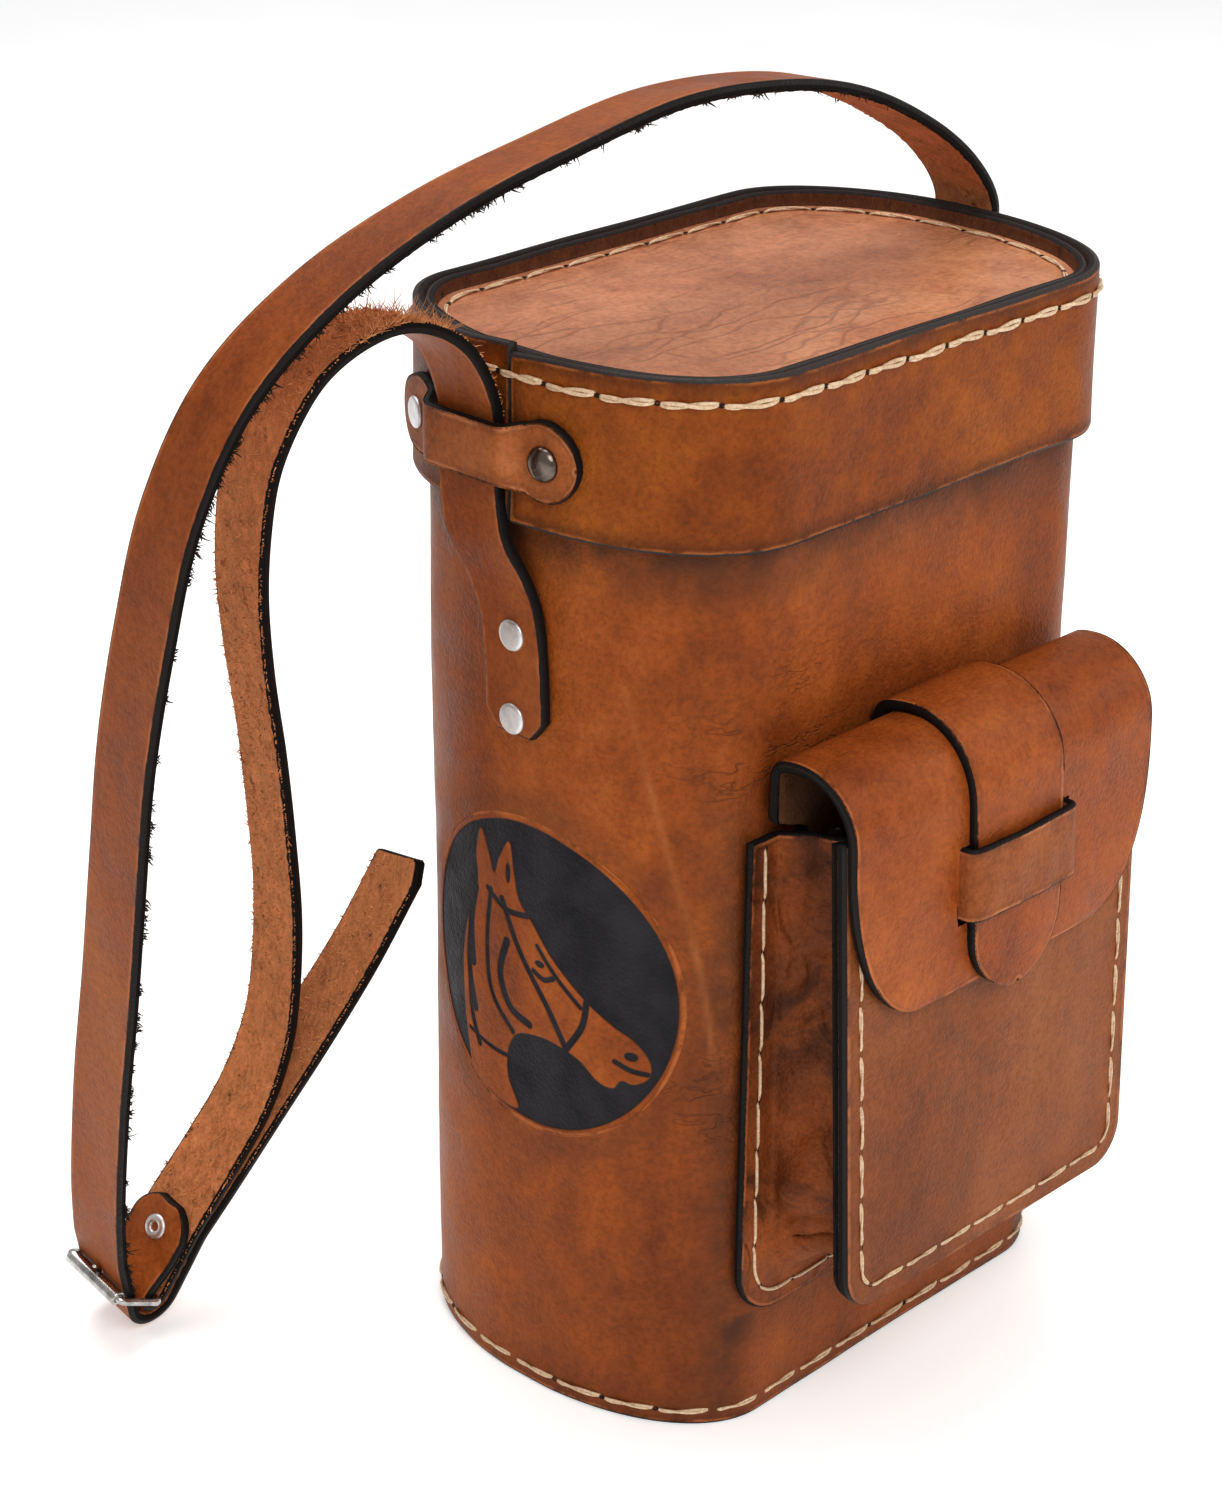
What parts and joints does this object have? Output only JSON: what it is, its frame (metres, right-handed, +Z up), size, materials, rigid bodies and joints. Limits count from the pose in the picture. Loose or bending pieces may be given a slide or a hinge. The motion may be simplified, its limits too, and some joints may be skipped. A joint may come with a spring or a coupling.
{
  "type": "leather flask carrying case",
  "caption": "Upright leather carrying case for a flask, with a deep slip-over lid, a front pouch with a flap and tongue, and a buckled shoulder strap.",
  "frame": {"origin": "centre of the base, on the underside", "axes": "+Z up, -Y is the face with the pouch, -X is the narrow end with the tooled round, from which the strap loop lies"},
  "size_m": [0.3186, 0.2396, 0.4001],
  "materials": {
    "wall_leather": "tanned, rubbed oil finish, dark burnished edges",
    "top_leather": "tanned, satin sheen, fine creases",
    "gusset_leather": "soft dark split leather",
    "strap_leather": "grain side waxed, flesh side fuzzy, edges dyed black",
    "thread": "waxed two-strand thread",
    "nickel": "polished nickel plate",
    "dark_nickel": "darkened nickel plate"
  },
  "bodies": {
    "case": {"body_wall": "wall_leather", "base_panel": "wall_leather", "base_stitching": "thread", "divider": "gusset_leather", "pouch_gusset": "gusset_leather", "pouch_front": "wall_leather", "pouch_front_stitching": "thread", "pouch_flange_stitching": "thread", "pouch_loop": "strap_leather", "flap_root": "wall_leather", "tongue_root": "wall_leather", "root_rivets": "nickel", "strap_tab_near": "strap_leather", "strap_tab_far": "strap_leather", "tab_rivets_near": "nickel", "tab_rivets_far": "nickel"},
    "lid": {"lid_wall": "wall_leather", "lid_panel": "top_leather", "lid_outer_stitching": "thread", "lid_panel_stitching": "thread", "keeper_near": "strap_leather", "keeper_far": "strap_leather", "keeper_rivets_near": "dark_nickel", "keeper_rivets_far": "dark_nickel", "strap_short": "strap_leather", "strap_long": "strap_leather", "fold_rivet": "nickel"},
    "buckle": {"buckle_frame": "nickel"},
    "roller": {"buckle_roller": "nickel"},
    "prong": {"buckle_prong": "nickel"},
    "flap": {"pouch_flap": "wall_leather"},
    "tongue": {"pouch_tongue": "wall_leather"}
  },
  "joints": [
    {"name": "lid_lift", "type": "slide", "parent": "case", "child": "lid", "axis": [0, 0, 1], "range_m": [0, 0.12]},
    {"name": "tongue_swing", "type": "hinge", "parent": "case", "child": "tongue", "pos_m": [0, -0.073, 0.226], "axis": [-1, 0, 0], "range_deg": [0, 86], "deforming": ["pouch_loop", "tongue_root", "flap_root"]},
    {"name": "flap_swing", "type": "hinge", "parent": "case", "child": "flap", "pos_m": [0, -0.073, 0.226], "axis": [-1, 0, 0], "range_deg": [0, 82]},
    {"name": "buckle_tilt", "type": "hinge", "parent": "lid", "child": "buckle", "pos_m": [-0.166, 0.114, 0.0142], "axis": [0, -0.9703, -0.2419], "range_deg": [0, 6]},
    {"name": "roller_spin", "type": "hinge", "parent": "buckle", "child": "roller", "pos_m": [-0.18262, 0.11177, 0.02314], "axis": [0, 0.9703, 0.2419], "continuous": true},
    {"name": "prong_lift", "type": "hinge", "parent": "buckle", "child": "prong", "pos_m": [-0.166, 0.114, 0.0142], "axis": [0, 0.9703, 0.2419], "range_deg": [0, 5]}
  ],
  "couplings": [
    {"joint": "flap_swing", "follows": "tongue_swing", "ratio": 0.95}
  ]
}
